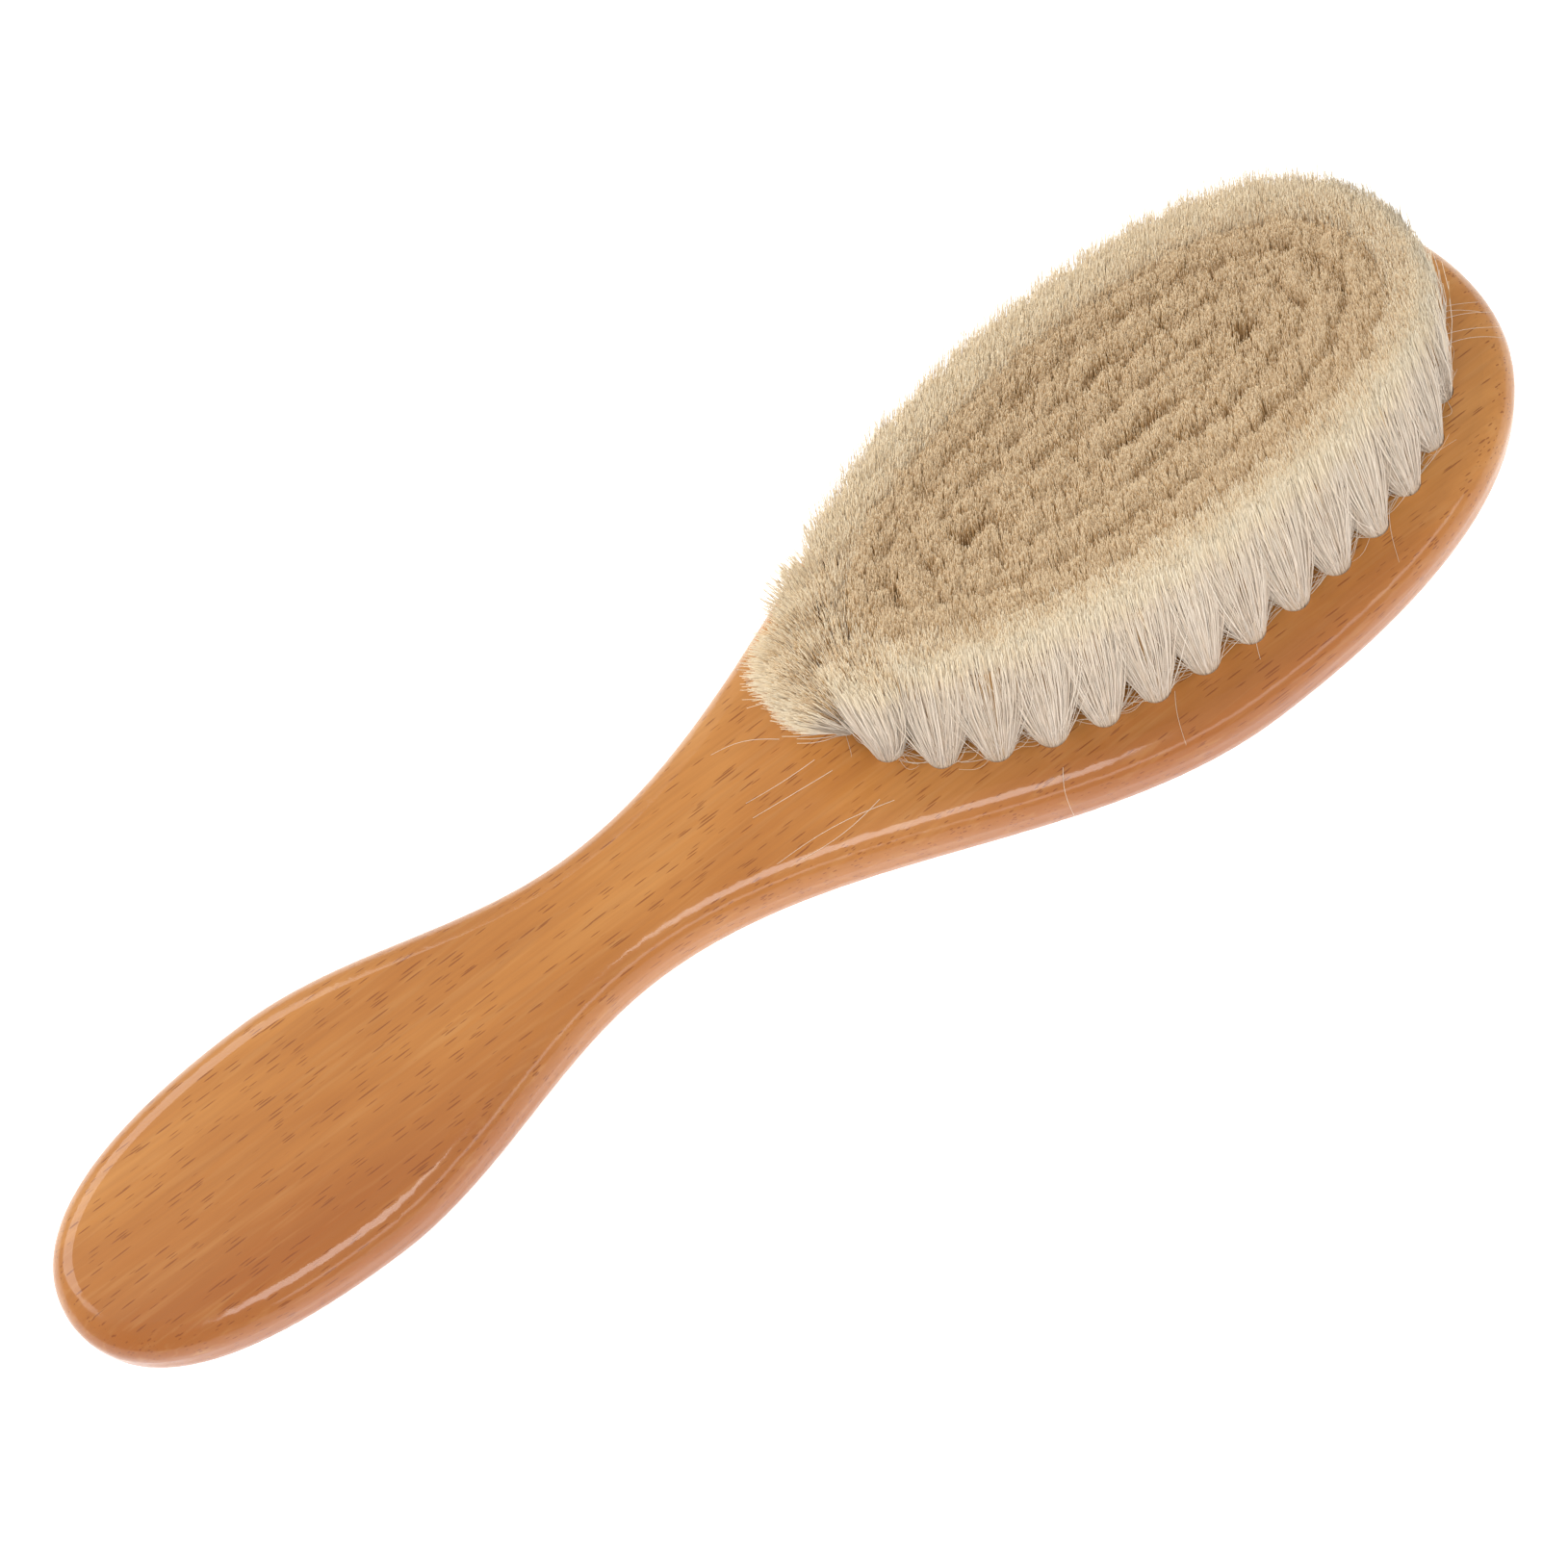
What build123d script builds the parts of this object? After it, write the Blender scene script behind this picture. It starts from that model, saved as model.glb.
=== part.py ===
from build123d import *
import os

# Clothes brush: goat hair tufts, each folded over a flat wire anchor, in a one-piece beech handle.
# Millimetres. The brush lies on its back with the hair up: +X runs from the tail of the grip to
# the tip of the head, +Z is the way the hair stands, and the origin is under the middle.

# ---- driving dimensions ------------------------------------------------------------------------
overall_length = 250.0
board_thickness = 12.5
face_edge_radius = 4.5          # rounding of the edge round the hair side
back_edge_radius = 5.5          # rounding of the edge round the back

head_width = 73.0
head_half_length = 64.0         # from the widest line of the head to its tip
grip_width = 41.5
grip_end_length = 42.5          # from the tail to the widest line of the grip
neck_width = 22.0
neck_to_tail = 94.0             # from the tail to the narrowest line

hair_height = 24.0              # hair that stands out of the wood
hole_diameter = 4.6
hole_depth = 8.0
tuft_hole_clearance = 0.1       # all round the hair, inside its hole
tuft_gap = 0.3                  # between neighbouring rows of tufts where they are trimmed
tuft_stretch = 1.35             # trimmed end of a tuft, along its row over across it

tuft_margin = 10.0              # from the side of the head to the nearest hole centre
tip_margin = 12.0               # from the tip of the head to the nearest hole centre
neck_reach = 56.0               # from the widest line of the hole field to its neck end
field_to_tip = 57.0             # from the widest line of the hole field to the tip of the head
end_pitch = 6.625               # between rings of holes, at the two ends of the field
tufts_per_row = (32, 26, 20, 14, 5)         # four rings from the outside in, and a middle row
middle_row_insets = (9.0, 7.0)              # keep its two ends clear of the ring round it
trim_width_scale = 0.80         # the hair leans inward, so its trimmed face is narrower than
trim_length_scale = 0.93        # the hole field, and a little shorter
row_crowding = 0.87             # rings stand this much closer together between side and end

anchor_thickness = 0.35
anchor_height = 1.8
anchor_lift = 0.9               # under the anchor, where the hair turns round it

# A handle of 0.5523 turns a Bezier quarter into an ellipse, and more makes a fuller shoulder.
ellipse_handle = 0.5523
full_handle = 0.65
side_handle = 0.35

# ---- worked out from them ----------------------------------------------------------------------
tail_x = -overall_length / 2
tip_x = overall_length / 2
head_x = tip_x - head_half_length
grip_x = tail_x + grip_end_length
neck_x = tail_x + neck_to_tail
field_x = tip_x - field_to_tip

row_count = len(tufts_per_row)
field_half_width = head_width / 2 - tuft_margin
tip_reach = field_to_tip - tip_margin
row_pitch = field_half_width / (row_count - 1)
trim_z = board_thickness + hair_height
stem_radius = hole_diameter / 2 - tuft_hole_clearance
trim_pitch = min(row_pitch, end_pitch) * row_crowding * trim_width_scale
trim_radius = (trim_pitch - tuft_gap) / 2
spread_radius = trim_radius * tuft_stretch
anchor_length = (hole_diameter**2 - anchor_thickness**2) ** 0.5


def quarter(start, corner, end, handle):
    """Curve from start to end, along the two sides that meet at corner."""
    start, corner, end = Vector(start), Vector(corner), Vector(end)
    Bezier(start, start + (corner - start) * handle, end + (corner - end) * handle, end)


def side_curve(start, end):
    """Curve between two points where the side of the handle runs along its axis."""
    span = (end[0] - start[0]) * side_handle
    Bezier(start, (start[0] + span, start[1]), (end[0] - span, end[1]), end)


# ---- where each tuft stands --------------------------------------------------------------------
def tuft_plane(centre, along):
    """Plane at the mouth of a hole, with Z the way it is drilled and X along its row."""
    mouth = Vector(centre.X, centre.Y, board_thickness)
    trim_centre = Vector(
        field_x + (centre.X - field_x) * trim_length_scale,
        centre.Y * trim_width_scale,
        trim_z,
    )
    way = trim_centre - mouth
    return Plane(origin=mouth, x_dir=way.cross(along).cross(way), z_dir=way)


def ring_mouths(row):
    """Planes for a ring of holes, evenly spaced from its tip end and alike on both sides."""
    half_width = field_half_width - row * row_pitch
    tip_end = field_x + tip_reach - row * end_pitch
    neck_end = field_x - neck_reach + row * end_pitch
    with BuildLine() as ring:
        quarter((tip_end, 0), (tip_end, half_width), (field_x, half_width), full_handle)
        quarter((field_x, half_width), (neck_end, half_width), (neck_end, 0), ellipse_handle)
        mirror(about=Plane.XZ)
    count = tufts_per_row[row]
    stations = [index / count for index in range(count)]
    return [tuft_plane(ring.wire() @ station, ring.wire() % station) for station in stations]


def middle_mouths(row):
    """Planes for the straight row of holes down the middle of the field."""
    start = Vector(field_x - neck_reach + row * end_pitch + middle_row_insets[0], 0)
    end = Vector(field_x + tip_reach - row * end_pitch - middle_row_insets[1], 0)
    steps = tufts_per_row[row] - 1
    stations = [index / steps for index in range(steps + 1)]
    return [tuft_plane(start + (end - start) * station, end - start) for station in stations]


rows = [ring_mouths(row) for row in range(row_count - 1)]
rows.append(middle_mouths(row_count - 1))

os.makedirs("parts", exist_ok=True)

# ---- handle ------------------------------------------------------------------------------------
with BuildPart() as handle_body:
    with BuildSketch():
        with BuildLine():
            tail = (tail_x, 0)
            grip = (grip_x, grip_width / 2)
            neck = (neck_x, neck_width / 2)
            head = (head_x, head_width / 2)
            tip = (tip_x, 0)
            quarter(tail, (tail_x, grip_width / 2), grip, full_handle)
            side_curve(grip, neck)
            side_curve(neck, head)
            quarter(head, (tip_x, head_width / 2), tip, full_handle)
            mirror(about=Plane.XZ)
        make_face()
    extrude(amount=board_thickness)
    fillet(handle_body.faces().sort_by(Axis.Z)[-1].edges(), face_edge_radius)
    fillet(handle_body.faces().sort_by(Axis.Z)[0].edges(), back_edge_radius)
    for row in rows:
        for mouth in row:
            # The drill starts above the face, so that a slanting hole has an open mouth.
            with Locations(mouth.offset(hole_diameter / 2)):
                Hole(hole_diameter / 2, hole_depth + hole_diameter / 2)
handle_body.part.label = "handle_body"
export_step(handle_body.part, "parts/handle_body.step")


# ---- hair --------------------------------------------------------------------------------------
def anchor(mouth):
    """Flat wire across the foot of a hole, with its edges against the wood."""
    foot = mouth.offset(-hole_depth + anchor_lift)
    with BuildPart() as wire:
        with BuildSketch(foot):
            Rectangle(anchor_length, anchor_thickness)
        extrude(amount=anchor_height)
    return wire.part


def tuft(mouth):
    """Hair that fills its hole round the anchor and spreads to the trimmed face."""
    with BuildPart() as hair:
        with BuildSketch(mouth.offset(-hole_depth)):
            Circle(stem_radius)
        extrude(amount=hole_depth)
        with BuildSketch(mouth):
            Circle(stem_radius)
        with BuildSketch(mouth.offset(1.1 * hair_height)):
            Ellipse(spread_radius, trim_radius)
        loft()
        split(bisect_by=Plane.XY.offset(trim_z), keep=Keep.BOTTOM)
        add(anchor(mouth), mode=Mode.SUBTRACT)
    return hair.part


def write_group(solids, name):
    """Write separate solids as one node."""
    group = Compound(label=name, children=solids)
    export_step(group, f"parts/{name}.step")


for row, mouths in enumerate(rows):
    tufts = [tuft(mouth) for mouth in mouths]
    write_group([anchor(mouth) for mouth in mouths], f"anchors_row_{row + 1}")
    if row == 0:
        for index, hair in enumerate(tufts):
            hair.label = f"tuft_outer_{index + 1:02d}"
            export_step(hair, f"parts/{hair.label}.step")
    else:
        write_group(tufts, f"tufts_row_{row + 1}")
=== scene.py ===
import math

import bmesh
import bpy
import numpy as np
from mathutils import Matrix, Vector


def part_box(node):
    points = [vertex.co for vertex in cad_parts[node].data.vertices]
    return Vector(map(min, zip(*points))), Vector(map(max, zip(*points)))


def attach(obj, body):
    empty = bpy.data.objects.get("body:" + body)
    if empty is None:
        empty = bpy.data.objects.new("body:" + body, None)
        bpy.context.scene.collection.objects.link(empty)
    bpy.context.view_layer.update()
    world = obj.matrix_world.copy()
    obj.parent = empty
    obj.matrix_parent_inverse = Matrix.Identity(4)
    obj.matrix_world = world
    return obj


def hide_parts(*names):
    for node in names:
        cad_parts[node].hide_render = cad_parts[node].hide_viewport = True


# Looks of the clothes brush, in metres in the CAD frame: +X runs from the tail of the grip to the
# tip of the head, and +Z is the way the hair stands. Each tuft of hair takes its place from its
# own CAD solid and from the wire anchor at its foot.

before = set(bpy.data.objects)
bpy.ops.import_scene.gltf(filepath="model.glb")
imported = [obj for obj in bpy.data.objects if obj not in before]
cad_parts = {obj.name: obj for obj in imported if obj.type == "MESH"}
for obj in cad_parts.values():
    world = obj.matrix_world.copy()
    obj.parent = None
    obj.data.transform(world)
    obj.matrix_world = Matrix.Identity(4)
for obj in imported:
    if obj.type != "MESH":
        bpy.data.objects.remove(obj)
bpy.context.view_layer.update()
face_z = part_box("handle_body")[1].z
trim_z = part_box("tufts_row_5")[1].z
MM = 0.001

# ---- node helpers ------------------------------------------------------------------------------


class Nodes:
    """A material's node tree, with short ways to add to it."""

    def __init__(self, name):
        self.material = bpy.data.materials.new(name)
        self.material.use_nodes = True
        self.tree = self.material.node_tree
        self.shader = self.tree.nodes["Principled BSDF"]

    def add(self, kind, inputs=(), **settings):
        node = self.tree.nodes.new(kind)
        for name, value in settings.items():
            setattr(node, name, value)
        for socket, value in dict(inputs).items():
            self.put(node, socket, value)
        return node

    def put(self, node, socket, value):
        if isinstance(value, bpy.types.NodeSocket):
            self.tree.links.new(value, node.inputs[socket])
        else:
            node.inputs[socket].default_value = value

    def math(self, operation, a, b=0.0, c=0.0, clamp=False):
        node = self.add("ShaderNodeMath", {0: a, 1: b, 2: c}, operation=operation, use_clamp=clamp)
        return node.outputs[0]

    def ramp(self, value, *stops):
        """Colours or greys along a value, at (place, colour) stops."""
        node = self.add("ShaderNodeValToRGB", {0: value})
        points = node.color_ramp.elements
        while len(points) < len(stops):
            points.new(0.5)
        for point, (place, colour) in zip(points, stops):
            point.position = place
            point.color = (*colour, 1) if isinstance(colour, tuple) else (colour,) * 3 + (1,)
        return node.outputs[0]

    def mix(self, amount, a, b, blend="MIX"):
        node = self.add("ShaderNodeMix", {0: amount, 6: a, 7: b}, data_type="RGBA", blend_type=blend)
        return node.outputs[2]

    def noise(self, vector, scale, detail=2.0, roughness=0.5, distortion=0.0):
        inputs = {
            "Vector": vector,
            "Scale": scale,
            "Detail": detail,
            "Roughness": roughness,
            "Distortion": distortion,
        }
        return self.add("ShaderNodeTexNoise", inputs).outputs[0]

    def stretch(self, vector, x, y, z, turn=0.0):
        inputs = {"Vector": vector, "Scale": (x, y, z), "Rotation": (0, 0, turn)}
        return self.add("ShaderNodeMapping", inputs).outputs[0]


def srgb(r, g, b):
    """Linear colour of an sRGB colour from 0 to 255."""
    parts = [c / 255 for c in (r, g, b)]
    return tuple(c / 12.92 if c <= 0.04045 else ((c + 0.055) / 1.055) ** 2.4 for c in parts)


# ---- beech -------------------------------------------------------------------------------------
def beech():
    n = Nodes("steamed_beech_lacquered")
    place = n.add("ShaderNodeTexCoord").outputs["Object"]
    # slow drift of tone along the board
    drift = n.noise(n.stretch(place, 14, 60, 60), 1.0, 3, 0.55)
    tone = n.ramp(
        drift,
        (0.30, srgb(170, 106, 46)),
        (0.50, srgb(187, 124, 60)),
        (0.72, srgb(202, 144, 80)),
    )
    # painted shade: the wood is darker along the -Y side of the board, from an uneven line that slants a
    # little
    spot = n.add("ShaderNodeSeparateXYZ", {0: place})
    side = n.math("MULTIPLY_ADD", spot.outputs[0], -0.15, n.math("MULTIPLY", spot.outputs[1], -1.0))
    uneven = n.noise(n.stretch(place, 25, 120, 120), 1.0, 2)
    side = n.math("MULTIPLY_ADD", uneven, 0.008, n.math("SUBTRACT", side, 0.013))
    painted_shade = n.ramp(n.math("MULTIPLY", side, 50.0), (0.0, 0.0), (0.9, 0.75))
    tone = n.mix(painted_shade, tone, (*srgb(148, 78, 26), 1))
    # fine streaks that run with the grain
    streak = n.noise(n.stretch(place, 45, 1500, 1500), 1.0, 4, 0.6)
    tone = n.mix(n.ramp(streak, (0.38, 0.0), (0.70, 0.30)), tone, (*srgb(150, 94, 46), 1))
    pale = n.noise(n.stretch(place, 60, 900, 900), 1.0, 2, 0.5, 0.4)
    tone = n.mix(n.ramp(pale, (0.52, 0.0), (0.80, 0.22)), tone, (*srgb(206, 158, 100), 1))
    # ray flecks: short dark dashes along the grain, one near the point of each chosen cell, in sets
    # of (cells per metre along the grain, across it, size in its cell, share of cells that have one)
    flecks = None
    for along, across, size, share in ((230, 2700, 0.27, 0.38), (150, 2300, 0.23, 0.32)):
        cells = n.add(
            "ShaderNodeTexVoronoi",
            {"Vector": n.stretch(place, along, across, across), "Scale": 1.0, "Randomness": 1.0},
        )
        chance = n.add("ShaderNodeSeparateColor", {0: cells.outputs["Color"]})
        kept = n.math("LESS_THAN", chance.outputs[0], share)
        reach = n.math("MULTIPLY_ADD", chance.outputs[1], size, size * 0.5)
        inside = n.math("SUBTRACT", 1.0, n.math("DIVIDE", cells.outputs["Distance"], reach), clamp=True)
        dash = n.math("MULTIPLY", n.math("MULTIPLY", inside, 3.5, clamp=True), kept)
        flecks = dash if flecks is None else n.math("MAXIMUM", flecks, dash)
    tone = n.mix(n.math("MULTIPLY", flecks, 0.65), tone, (*srgb(118, 58, 22), 1))
    n.put(n.shader, "Base Color", tone)
    rough = n.ramp(n.noise(n.stretch(place, 60, 700, 700), 1.0, 3), (0.3, 0.40), (0.7, 0.52))
    n.put(n.shader, "Roughness", rough)
    bump = n.add(
        "ShaderNodeBump",
        {"Strength": 0.25, "Distance": 0.00006, "Height": n.math("SUBTRACT", streak, flecks)},
    )
    n.put(n.shader, "Normal", bump.outputs[0])
    n.shader.inputs["Specular IOR Level"].default_value = 0.15
    n.shader.inputs["Coat Weight"].default_value = 0.6
    n.shader.inputs["Coat Roughness"].default_value = 0.11
    n.shader.inputs["Coat IOR"].default_value = 1.5
    return n.material


# ---- goat hair ---------------------------------------------------------------------------------
# A hair's map runs from root to tip up one of these columns, which gives its shade: white hair has
# the columns before BEIGE, the beige hair of the trimmed field, with painted shade below its tips, has the
# rest, and CORE is the last.
SHADES = 64
BEIGE = 32
CORE = 63
MAP_EDGE = 0.1      # a column's margins, as a share of its width


def goat_hair():
    n = Nodes("goat_hair")
    spot = n.add("ShaderNodeSeparateXYZ", {0: n.add("ShaderNodeUVMap", uv_map="OFBake").outputs[0]})
    column = n.math("FLOOR", n.math("MULTIPLY", spot.outputs[0], SHADES))
    along = spot.outputs[1]
    chance = n.add("ShaderNodeTexWhiteNoise", {"W": column}, noise_dimensions="1D").outputs[0]
    # white hair: the paler top of this ramp and of white_dark is painted light on the lit tips
    white = n.ramp(
        along,
        (0.00, srgb(226, 206, 182)),
        (0.10, srgb(226, 211, 195)),
        (0.80, srgb(234, 219, 199)),
        (0.92, srgb(240, 224, 196)),
        (1.00, srgb(255, 242, 216)),
    )
    white_dark = n.ramp(
        along,
        (0.00, srgb(196, 170, 142)),
        (0.60, srgb(210, 190, 168)),
        (1.00, srgb(244, 222, 186)),
    )
    # beige hair: the dark middle of this ramp and of beige_dark is painted shade inside the mass of hair, and
    # their pale tops are painted light on the lit tips
    beige = n.ramp(
        along,
        (0.00, srgb(216, 194, 162)),
        (0.60, srgb(166, 124, 74)),
        (0.90, srgb(194, 156, 104)),
        (0.96, srgb(218, 186, 140)),
        (1.00, srgb(246, 226, 192)),
    )
    beige_dark = n.ramp(
        along,
        (0.00, srgb(178, 148, 110)),
        (0.60, srgb(116, 76, 34)),
        (0.92, srgb(142, 102, 56)),
        (1.00, srgb(192, 156, 110)),
    )
    depth = n.ramp(chance, (0.30, 0.0), (1.0, 0.85))
    inner = n.math("GREATER_THAN", column, BEIGE - 0.5)
    tone = n.mix(inner, n.mix(depth, white, white_dark), n.mix(depth, beige, beige_dark))
    n.put(n.shader, "Base Color", tone)
    n.put(n.shader, "Roughness", n.ramp(chance, (0.0, 0.42), (1.0, 0.58)))
    n.shader.inputs["Specular IOR Level"].default_value = 0.35
    return n.material


def steel_wire():
    n = Nodes("anchor_steel")
    place = n.add("ShaderNodeTexCoord").outputs["Object"]
    brushed = n.noise(n.stretch(place, 900, 900, 12000), 1.0, 3)
    steel = n.ramp(brushed, (0.3, srgb(176, 176, 178)), (0.7, srgb(214, 214, 216)))
    n.put(n.shader, "Base Color", steel)
    n.put(n.shader, "Roughness", n.ramp(brushed, (0.3, 0.28), (0.7, 0.42)))
    n.shader.inputs["Metallic"].default_value = 1.0
    return n.material


# ---- the tufts' places, from the CAD solids ----------------------------------------------------
def solids_of(node):
    """The corners of each separate solid in a CAD node, ordered from -X to +X."""
    mesh = bmesh.new()
    mesh.from_mesh(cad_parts[node].data)
    bmesh.ops.remove_doubles(mesh, verts=mesh.verts, dist=1e-6)
    mesh.verts.index_update()
    seen = set()
    found = []
    for first in mesh.verts:
        if first.index in seen:
            continue
        seen.add(first.index)
        queue = [first]
        corners = []
        while queue:
            vert = queue.pop()
            corners.append(vert.co[:])
            linked = [edge.other_vert(vert) for edge in vert.link_edges]
            fresh = [other for other in linked if other.index not in seen]
            seen.update(other.index for other in fresh)
            queue.extend(fresh)
        found.append(np.array(corners))
    mesh.free()
    return sorted(found, key=lambda co: (round(co[:, 0].min(), 6), round(co[:, 1].min(), 6)))


class Tuft:
    """Where one tuft leaves the wood, where it is trimmed, and the directions of its row."""

    def __init__(self, row, node, corners, anchors):
        self.row = row
        self.node = node
        top = corners[corners[:, 2] > corners[:, 2].max() - 1e-5]
        self.trim = (top.min(0) + top.max(0)) / 2
        centres = np.array([anchor.mean(0) for anchor in anchors])
        stem = corners[corners[:, 2] < face_z - 4 * MM]
        nearest = np.hypot(*(centres - (stem.min(0) + stem.max(0)) / 2).T[:2]).argmin()
        foot = centres[nearest]
        way = self.trim - foot
        self.mouth = foot + way * (face_z - foot[2]) / way[2]
        flat = anchors[nearest] - foot
        self.along = np.linalg.svd(flat)[2][0]
        self.along[2] = 0
        self.along /= np.linalg.norm(self.along)
        self.out = np.cross(self.along, (0, 0, 1))


tufts = []
for row in range(1, 6):
    anchors = solids_of(f"anchors_row_{row}")
    start = "tuft_outer_" if row == 1 else f"tufts_row_{row}"
    names = sorted(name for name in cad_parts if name.startswith(start))
    for name in names:
        tufts += [Tuft(row, name, corners, anchors) for corners in solids_of(name)]
field_low = np.min([t.trim for t in tufts], 0)
field_high = np.max([t.trim for t in tufts], 0)
field_centre = (field_low + field_high) / 2
for tuft in tufts:
    # the way out of the field, and the same way along every row: the middle row takes +Y as out
    outward = (0, 1) if tuft.row == 5 else (tuft.trim - field_centre)[:2] * (0.25, 1)
    if np.dot(tuft.out[:2], outward) < 0:
        tuft.out = -tuft.out
    tuft.along = np.cross((0, 0, 1), tuft.out)


# ---- hair --------------------------------------------------------------------------------------
def prisms(paths, radii, shades, rng, v_from=0.0, v_to=1.0, facing=(0, 0, 1)):
    """Closed three-sided hairs along paths (hair, station, xyz).

    Gives their vertices, long faces and their map, end faces and their map, and normals. Light
    passes from hair to hair, so the normals lean to the way the whole tuft faces.
    """
    count, stations = paths.shape[:2]
    step = np.gradient(paths, axis=1)
    step /= np.linalg.norm(step, axis=2, keepdims=True)
    side = np.cross(step, (0.31, 0.22, 0.05))
    side /= np.linalg.norm(side, axis=2, keepdims=True)
    other = np.cross(step, side)
    third = np.arange(3).reshape(1, 1, 3, 1) * (2 * math.pi / 3)
    turn = rng.uniform(0, 2 * math.pi, (count, 1, 1, 1)) + third
    ring = np.cos(turn) * side[:, :, None] + np.sin(turn) * other[:, :, None]
    verts = paths[:, :, None] + ring * radii[:, :, None, None]
    lean = np.broadcast_to(np.asarray(facing, float), (count, 3))[:, None, None]
    normals = ring * 0.5 + lean * 0.5
    normals /= np.linalg.norm(normals, axis=3, keepdims=True)
    base = (np.arange(count) * stations * 3)[:, None, None]
    level = (np.arange(stations - 1) * 3)[None, :, None]
    k = np.arange(3)[None, None, :]
    low, low_next = base + level + k, base + level + (k + 1) % 3
    quads = np.stack([low, low_next, low_next + 3, low + 3], -1).reshape(-1, 4)
    first = base[:, 0] + np.array([[2, 1, 0]])
    last = base[:, 0] + (stations - 1) * 3 + np.array([[0, 1, 2]])
    left = ((shades + MAP_EDGE) / SHADES)[:, None, None]
    right = ((shades + 1 - MAP_EDGE) / SHADES)[:, None, None]
    v = v_from + (v_to - v_from) * np.linspace(0, 1, stations)
    v0 = np.broadcast_to(v[None, :-1, None], (count, stations - 1, 3))
    v1 = np.broadcast_to(v[None, 1:, None], (count, stations - 1, 3))
    l = np.broadcast_to(left, v0.shape)
    r = np.broadcast_to(right, v0.shape)
    quad_map = np.stack([np.stack(c, -1) for c in ((l, v0), (r, v0), (r, v1), (l, v1))], -2)
    l, r = left[:, 0, 0], right[:, 0, 0]
    zero = 0 * l
    cap_height = 0.012
    root = [np.c_[l, zero + v_from], np.c_[r, zero + v_from], np.c_[r, zero + v_from + cap_height]]
    tip = [np.c_[l, zero + v_to], np.c_[r, zero + v_to], np.c_[r, zero + v_to - cap_height]]
    caps = np.concatenate([first, last])
    cap_map = np.concatenate([np.stack(root, 1), np.stack(tip, 1)])
    return (
        verts.reshape(-1, 3),
        quads,
        quad_map.reshape(-1, 2),
        caps,
        cap_map.reshape(-1, 2),
        normals.reshape(-1, 3),
    )


def hair_piece(name, parts, material):
    """One mesh object from the results of prisms()."""
    shift = np.cumsum([0] + [len(p[0]) for p in parts])
    verts = np.concatenate([p[0] for p in parts])
    quads = np.concatenate([p[1] + s for p, s in zip(parts, shift)])
    caps = np.concatenate([p[3] + s for p, s in zip(parts, shift)])
    uvs = np.concatenate([p[2] for p in parts] + [p[4] for p in parts])
    mesh = bpy.data.meshes.new(name)
    corners = np.concatenate([quads.ravel(), caps.ravel()]).astype(np.int32)
    starts = np.concatenate([np.arange(len(quads)) * 4, len(quads) * 4 + np.arange(len(caps)) * 3])
    mesh.vertices.add(len(verts))
    mesh.vertices.foreach_set("co", verts.astype(np.float32).ravel())
    mesh.loops.add(len(corners))
    mesh.loops.foreach_set("vertex_index", corners)
    mesh.polygons.add(len(starts))
    mesh.polygons.foreach_set("loop_start", starts.astype(np.int32))
    mesh.update(calc_edges=True)
    mesh.polygons.foreach_set("use_smooth", np.ones(len(starts), bool))
    mesh.uv_layers.new(name="OFBake").data.foreach_set("uv", uvs.astype(np.float32).ravel())
    mesh.materials.append(material)
    mesh.normals_split_custom_set_from_vertices(np.concatenate([p[5] for p in parts]).tolist())
    piece = bpy.data.objects.new(name, mesh)
    bpy.context.scene.collection.objects.link(piece)
    return piece


def drift(points, length, seed):
    """Smooth wandering values, about -1 to 1, over places in the field."""
    waves = np.random.default_rng(seed)
    total = np.zeros(len(points))
    for _ in range(7):
        angle, phase = waves.uniform(0, 2 * math.pi, 2)
        wave = 2 * math.pi / (length * waves.uniform(0.7, 1.5))
        total += np.sin(wave * (points[:, 0] * math.cos(angle) + points[:, 1] * math.sin(angle)) + phase)
    return total / 2.6


def grown(tuft, tip, drop, root, start, stations, rng, bow, v_from, shades, radius, push=0, facing=(0, 0, 1)):
    """Hairs from their root and tip offsets (along the row, outward) in a tuft.

    They run from start, a share of the way up, to drop below the trimmed face. Each bends by about
    bow on its way, and push is how far its tip is combed toward -X.
    """
    count = len(tip)
    axis = tuft.trim - tuft.mouth
    full = (trim_z - drop - tuft.mouth[2]) / axis[2]
    t = start + (1 - start) * np.linspace(0, 1, stations)[None] * np.ones((count, 1))
    t = t * full[:, None]
    fan = 1 - np.abs(1 - np.clip(t, 0, 1)) ** 2
    bend = np.sin(np.clip(t, 0, 1) * math.pi)[..., None] * rng.normal(0, bow, (count, 1, 2))
    spot = root[:, None] * (1 - fan[..., None]) + tip[:, None] * fan[..., None] + bend
    paths = tuft.mouth + axis * t[..., None] + spot[..., :1] * tuft.along + spot[..., 1:] * tuft.out
    paths[..., 0] -= push * np.clip(t, 0, 1) ** 1.1
    taper = np.interp(np.linspace(0, 1, stations), (0, 0.7, 1), (1, 1, 0.55))
    thickness = radius[:, None] * taper[None]
    return prisms(paths, thickness, shades, rng, v_from=v_from, facing=facing)


def offsets(count, rng):
    """Points spread evenly in a round hole, as shares of its radius."""
    angle = rng.uniform(0, 2 * math.pi, count)
    reach = np.sqrt(rng.uniform(0, 1, count))
    return np.c_[reach * np.cos(angle), reach * np.sin(angle)]


def in_field(tuft, tip):
    """Where tips offset in a tuft lie in the trimmed face."""
    return tuft.trim + tip[:, :1] * tuft.along + tip[:, 1:] * tuft.out


HOLE = 2.1 * MM     # radius of a tuft where it leaves the wood
CLUMPS = 34         # small clumps in the trimmed end of an inner tuft
SUNK = -0.04        # start of the hairs that are seen from the root up, just inside the hole


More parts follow.
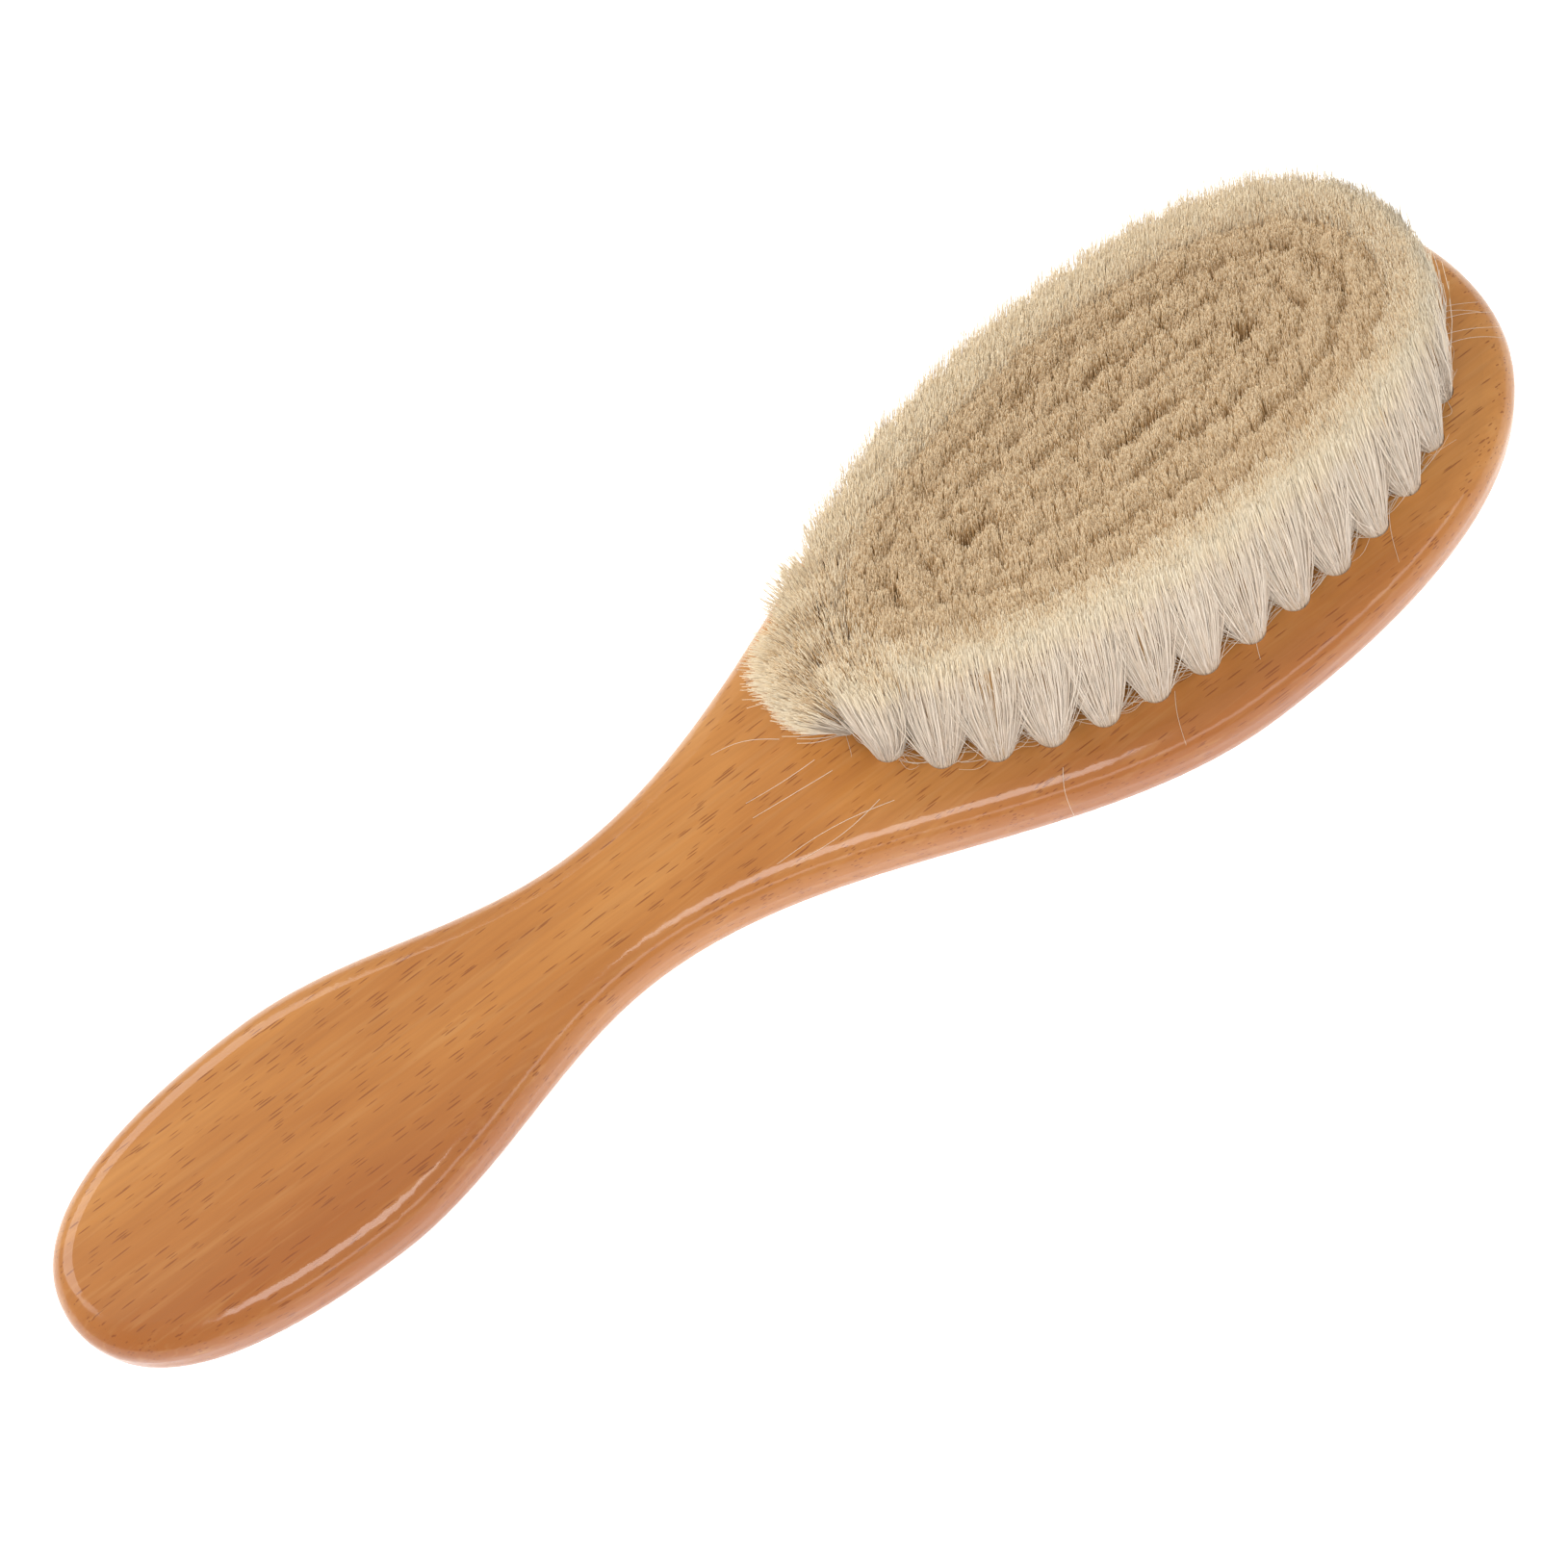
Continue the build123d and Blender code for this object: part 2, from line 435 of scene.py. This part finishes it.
def inner_hair(tuft, rng):
    """Hairs of a tuft inside the field, of which only the upper ends show."""
    count = 2500 if tuft.row > 2 else 2250
    place = offsets(count, rng)
    spread = ((4.8 if tuft.row < 4 else 5.6) * MM, 2.6 * MM)
    tip = place * spread + rng.normal(0, 0.9 * MM, (count, 2)) * (1, 0.8)
    where = in_field(tuft, tip)
    tip[:, 1] += 0.65 * MM * drift(where, 9 * MM, 5)
    clumps = rng.uniform(-1, 1, (CLUMPS, 2)) * (4.8 * MM, 2.8 * MM)
    nearest = np.hypot(*(tip[:, None] - clumps[None]).transpose(2, 0, 1)).argmin(1)
    tip += (clumps[nearest] - tip) * rng.uniform(0.0, 0.4, (count, 1))
    # valleys run between the rows, and shallow hollows lie anywhere
    where = in_field(tuft, tip)
    valley = np.clip(np.abs(tip[:, 1]) / (2.7 * MM), 0, 1.3) ** 2
    hollow = np.clip(0.5 + 0.5 * drift(where, 3.4 * MM, 6), 0, 1) ** 2
    drop = (0.3 + 1.0 * valley + 0.8 * hollow) * MM + rng.normal(0, 0.5 * MM, count)
    drop += rng.normal(0, 0.16 * MM, CLUMPS)[nearest]
    tint = 0.2 * rng.uniform(0, 1, CLUMPS)[nearest] + 0.5 * rng.uniform(0, 1, count) ** 1.3
    shades = np.floor(BEIGE + 30.99 * np.clip(tint + 0.45 * valley + 0.30 * hollow, 0, 1))
    radius = rng.uniform(0.050, 0.085, count) * MM
    made = [grown(tuft, tip, drop, place * 2.0 * MM, 0.62, 3, rng, 0.5 * MM, 0.62, shades, radius)]
    if tuft.row == 2:
        # whole hairs, which are seen through the gaps of the outside ring
        count = 550
        place = offsets(count, rng)
        tip = place * (4.8 * MM, 2.4 * MM) + rng.normal(0, 0.7 * MM, (count, 2))
        shades = np.floor(BEIGE + rng.uniform(0, 31, count))
        radius = rng.uniform(0.05, 0.075, count) * MM
        drop = rng.uniform(0.8, 2.5, count) * MM
        made.append(grown(tuft, tip, drop, place * HOLE, -0.03, 5, rng, 0.4 * MM, 0.0, shades, radius))
    return made


def outer_hair(tuft, rng):
    """Hairs of a tuft in the outside ring, which show over their whole length."""
    # how much this tuft faces the neck, the tip of the head and the +Y side
    neck = max(0.0, -tuft.out[0])
    toe = max(0.0, tuft.out[0])
    far = max(0.0, tuft.out[1])
    # the neck end of the field splays over the wood, most of all a little to its +Y side
    y = tuft.mouth[1] / MM
    splay = 21.0 * math.exp(-(((y - 5) / 10.5) ** 2)) * min(1.0, 1.3 * neck)
    uneven = 0.45 + 0.35 * far
    made = []
    # whole hairs, then more of the upper ends alone, on the inner side of the tuft
    for count, start, stations in ((1500, SUNK, 5), (750, 0.55, 3)):
        place = offsets(count, rng)
        if start > 0:
            place[:, 1] = place[:, 1] * 0.8 - 0.2
        # one hair in ten strays further than the rest
        wild = rng.normal(0, 1.0 * MM, (count, 2))
        wild *= np.where(rng.uniform(size=(count, 1)) < 0.10, 2.4, 0.8)
        tip = place * (5.4 * MM, 2.1 * MM) + wild * (1, 0.4)
        tip[:, 1] -= 1.3 * MM * np.clip(-place[:, 1], 0, 1)
        where = in_field(tuft, tip)
        over = np.clip((tip[:, 1] - 1.3 * MM) / (1.3 * MM), 0, 2)
        drop = 0.3 * MM + 0.5 * MM * over**2 + rng.normal(0, uneven * MM, count)
        drop += 0.4 * MM * drift(where, 5 * MM, 7)
        drop += 0.7 * MM * np.clip(-place[:, 1] - 0.3, 0, 1) ** 2
        flare = np.clip(0.66 + 0.7 * place[:, 1], 0, 1) * rng.uniform(0.75, 1.05, count)
        tip[:, 1] += flare * 1.4 * toe**2 * MM
        # the +Y side stands wider and wispier
        wisp = far * np.clip(place[:, 1] + 0.2, 0, 1)
        tip[:, 1] += wisp * rng.uniform(0, 3.4, count) * MM
        drop -= wisp * rng.uniform(-0.6, 2.0, count) * MM
        drop += flare**1.3 * splay * 0.55 * MM
        push = (flare * splay * MM)[:, None]
        facing = tuft.out * (1 - far) * (0.15 + np.clip(place[:, 1:], 0, 1)) + np.array((0, 0, 0.7))
        shades = np.floor(rng.uniform(0, 1, count) * 31.99)
        if start > 0:
            # the inner side of the ring is coloured like the field, with its painted shade below the tips
            beige = place[:, 1] < rng.normal(-0.15 - 0.27 * far, 0.15, count) + 0.3 * neck + 0.2 * toe
            shades = np.floor(np.where(beige, BEIGE + rng.uniform(0, 1, count) * 24.99, shades))
        radius = rng.uniform(0.045, 0.075, count) * MM
        # painted light: on the +Y side the upper ends take the pale colour of their tips, for the light that
        # shines through the backlit hair
        v_from = 0.55 + 0.42 * far if start > 0 else 0.0
        root = place * HOLE
        bow = 0.45 * MM
        made.append(
            grown(tuft, tip, drop, root, start, stations, rng, bow, v_from, shades, radius, push, facing)
        )
    made.append(loose_hair(tuft, rng))
    return made


def loose_hair(tuft, rng):
    """A few hairs that stick out sideways and cross the gaps beside a tuft."""
    count, stations = 16, 8
    side = rng.choice((-1, 1), count)
    root = np.c_[side * rng.uniform(0.8, 1.9, count), rng.uniform(-0.2, 1.3, count)] * MM
    reach = np.c_[side * rng.uniform(2.5, 7.5, count), rng.uniform(-0.5, 3.0, count)] * MM
    rise = rng.uniform(2.0, 15.0, count) * MM
    curl = rng.uniform(-1.2, 1.2, (count, 1, 2)) * MM
    t = np.linspace(0, 1, stations)[None, :, None]
    spot = root[:, None] + reach[:, None] * t**0.8 + curl * np.sin(t * math.pi)
    climb = rise[:, None] * t[..., 0] ** rng.uniform(0.6, 1.3, (count, 1)) - 0.2 * MM
    lean = (tuft.trim - tuft.mouth)[:2] / (trim_z - face_z)
    paths = np.zeros((count, stations, 3))
    paths += tuft.mouth + spot[..., :1] * tuft.along + spot[..., 1:] * tuft.out
    paths[..., :2] += climb[..., None] * lean
    paths[..., 2] += climb
    radius = rng.uniform(0.035, 0.055, (count, 1)) * MM * np.linspace(1, 0.4, stations)[None]
    return prisms(paths, radius, np.floor(rng.uniform(0, 10, count)), rng, v_to=0.7)


def core(tuft, rng):
    """The dense inside of a tuft, a closed body that narrows to the hole."""
    sides, levels = 14, 6
    axis = tuft.trim - tuft.mouth
    t = np.linspace(SUNK, 0.84 if tuft.row > 1 else 0.80, levels)
    fan = 1 - (1 - np.clip(t, 0, 1)) ** 2
    turn = np.linspace(0, 2 * math.pi, sides, endpoint=False)
    lumps = rng.uniform(0.86, 1.0, (levels, sides))
    long = (1.9 + 1.7 * fan)[:, None] * lumps * np.cos(turn) * MM
    wide = (1.9 + 0.1 * fan)[:, None] * lumps * np.sin(turn) * MM
    verts = tuft.mouth + axis * t[:, None, None] + long[..., None] * tuft.along + wide[..., None] * tuft.out
    verts = verts.reshape(-1, 3)
    k = np.arange(sides)
    low = (np.arange(levels - 1) * sides)[:, None]
    k_next = (k + 1) % sides
    quads = np.stack([low + k, low + k_next, low + k_next + sides, low + k + sides], -1).reshape(-1, 4)
    foot = np.array([[0, i + 1, i] for i in range(1, sides - 1)])
    top = np.array([[0, i, i + 1] for i in range(1, sides - 1)]) + (levels - 1) * sides
    caps = np.concatenate([foot, top])
    # all faces look outward
    turned = np.cross(verts[quads[:, 1]] - verts[quads[:, 0]], verts[quads[:, 3]] - verts[quads[:, 0]])
    outward = verts[quads].mean(1) - (tuft.mouth + axis * 0.4)
    if (turned * outward).sum() < 0:
        quads = quads[:, ::-1]
        caps = caps[:, ::-1]
    # the last column gives the core the field's beige with its painted shade, so it shows as dark hair deep
    # in the tuft
    left, right = (CORE + MAP_EDGE) / SHADES, (CORE + 1 - MAP_EDGE) / SHADES
    v = np.clip(t, 0.02, 0.98)
    v0, v1 = (np.repeat(c, sides) for c in (v[:-1], v[1:]))
    l, r = np.full_like(v0, left), np.full_like(v0, right)
    quad_map = np.stack([np.c_[l, v0], np.c_[r, v0], np.c_[r, v1], np.c_[l, v1]], 1)
    cap_map = np.tile([(left, 0.5), (right, 0.5), (right, 0.52)], (len(caps), 1))
    middle = verts.reshape(levels, sides, 3).mean(1, keepdims=True)
    normals = (verts.reshape(levels, sides, 3) - middle).reshape(-1, 3)
    normals /= np.linalg.norm(normals, axis=1, keepdims=True)
    return verts, quads, quad_map.reshape(-1, 2), caps, cap_map, normals


rng = np.random.default_rng(2024)
hair = goat_hair()


def finish_hair(piece, *nodes):
    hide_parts(*nodes)
    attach(piece, "root")


for tuft in [t for t in tufts if t.row == 1]:
    made = outer_hair(tuft, rng) + [core(tuft, rng)]
    finish_hair(hair_piece(tuft.node.replace("tuft", "hair"), made, hair), tuft.node)
for row in range(2, 6):
    mine = [t for t in tufts if t.row == row]
    share = 4 if row == 2 else 5    # tufts in a piece
    for part, first in enumerate(range(0, len(mine), share)):
        made = []
        for tuft in mine[first:first + share]:
            made += inner_hair(tuft, rng) + [core(tuft, rng)]
        finish_hair(hair_piece(f"hair_row_{row}_{part + 1}", made, hair), f"tufts_row_{row}")

# fallen hairs on the wood round the tufts: both ends in mm on the face, and the lift of the middle
fallen = (
    ((10, -14.5), (-8.5, -11.5), 0.7),
    ((8.5, -13.0), (-5.5, -13.2), 0.5),
    ((31, -26.0), (27.5, -33.5), 0.6),
    ((50, -27.0), (46, -34.5), 0.9),
    ((64, -27.5), (62, -31), 0.7),
    ((91, -24.0), (86, -32.0), 0.8),
    ((112, -7.0), (121.5, -12.5), 1.6),
    ((113, -5.0), (122.5, -10.0), 1.2),
    ((112.5, -9.0), (120.5, -14.0), 1.4),
    ((111, -3.5), (121.0, -8.5), 2.2),
    ((113, -2.5), (122.0, -7.2), 1.8),
    ((3, 4.0), (-6.0, 8.5), 1.0),
    ((5, -2.0), (-6.5, -1.0), 1.1),
    ((6, -5.0), (-7.0, -3.5), 0.9),
)
paths = []
for (x0, y0), (x1, y1), lift in fallen:
    t = np.linspace(0, 1, 9)[:, None]
    line = np.array((x0, y0, 0)) * (1 - t) + np.array((x1, y1, 0)) * t
    line[:, :2] += np.array((y0 - y1, x1 - x0)) * rng.uniform(-0.07, 0.07) * np.sin(t * math.pi)
    line[:, 2] = 0.03 + lift * np.sin(t[:, 0] * math.pi)
    paths.append(line * MM + (0, 0, face_z))
paths = np.array(paths)
radius = np.linspace(0.050, 0.025, 9)[None] * np.ones((len(paths), 1)) * MM
shades = np.floor(rng.uniform(0, 6, len(paths)))
strays = hair_piece("fallen_hairs", [prisms(paths, radius, shades, rng, v_to=0.7)], hair)
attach(strays, "root")

# ---- handle and anchors ------------------------------------------------------------------------
wood = beech()
wire = steel_wire()
for name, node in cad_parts.items():
    if name == "handle_body" or name.startswith("anchors"):
        node.data.materials.clear()
        node.data.materials.append(wood if name == "handle_body" else wire)

# ---- floor, light and camera -------------------------------------------------------------------
FLOOR = 4.0         # half its side
floor_mesh = bpy.data.meshes.new("floor")
corners = [(-FLOOR, -FLOOR, 0), (FLOOR, -FLOOR, 0), (FLOOR, FLOOR, 0), (-FLOOR, FLOOR, 0)]
floor_mesh.from_pydata(corners, [], [(0, 1, 2, 3)])
floor = bpy.data.objects.new("floor", floor_mesh)
floor.location.z = -0.0002
bpy.context.scene.collection.objects.link(floor)
paper = Nodes("white_paper")
paper.shader.inputs["Base Color"].default_value = (0.9, 0.9, 0.9, 1)
paper.shader.inputs["Roughness"].default_value = 0.9
paper.shader.inputs["Specular IOR Level"].default_value = 0.0
paper.shader.inputs["Emission Color"].default_value = (1, 1, 1, 1)
paper.shader.inputs["Emission Strength"].default_value = 0.65
floor_mesh.materials.append(paper.material)

world = bpy.data.worlds.new("studio")
world.use_nodes = True
world.node_tree.nodes["Background"].inputs[0].default_value = (1, 1, 1, 1)
world.node_tree.nodes["Background"].inputs[1].default_value = 0.55
bpy.context.scene.world = world


def softbox(name, place, aim, width, depth, power):
    """A rectangular lamp in metres and watts, turned to a point."""
    lamp = bpy.data.lights.new(name, "AREA")
    lamp.shape = "RECTANGLE"
    lamp.size, lamp.size_y = width, depth
    lamp.energy = power
    box = bpy.data.objects.new(name, lamp)
    box.location = place
    box.rotation_mode = "QUATERNION"
    box.rotation_quaternion = (Vector(aim) - Vector(place)).to_track_quat("-Z", "Y")
    bpy.context.scene.collection.objects.link(box)


softbox("key", (-0.5, 0.85, 0.85), (0, 0, 0), 0.9, 0.7, 8.5)
softbox("top", (-0.25, -0.40, 1.00), (0, 0, 0), 0.5, 0.4, 5.0)
softbox("front", (0.25, -1.1, 0.55), (0.02, 0, 0), 1.7, 0.20, 4.0)

# The camera looks at the origin from a distance, and its lens makes a millimetre there so many
# pixels in a square picture, with the origin at centre_x, centre_y from its upper left corner.
azimuth, elevation, roll = (math.radians(a) for a in (-12.08, 63.87, -26.04))
distance = 0.420
picture = 1629
pixels_per_mm = 7.13
centre_x, centre_y = 826.4, 837.5
toward = (math.sin(azimuth) * math.cos(elevation), -math.cos(azimuth) * math.cos(elevation))
back = Vector((*toward, math.sin(elevation)))
level = Vector((math.cos(azimuth), math.sin(azimuth), 0))
upright = back.cross(level)
right = level * math.cos(roll) + upright * math.sin(roll)
up = upright * math.cos(roll) - level * math.sin(roll)
lens = bpy.data.cameras.new("camera")
lens.sensor_width = 36
lens.lens = 36 * pixels_per_mm * distance * 1000 / picture
lens.shift_x = (picture / 2 - centre_x) / picture
lens.shift_y = (centre_y - picture / 2) / picture
lens.clip_start, lens.clip_end = 0.02, 20
camera = bpy.data.objects.new("camera", lens)
camera.matrix_world = Matrix.Translation(back * distance) @ Matrix((right, up, back)).transposed().to_4x4()
bpy.context.scene.collection.objects.link(camera)
bpy.context.scene.camera = camera
bpy.context.scene.view_settings.view_transform = "Standard"
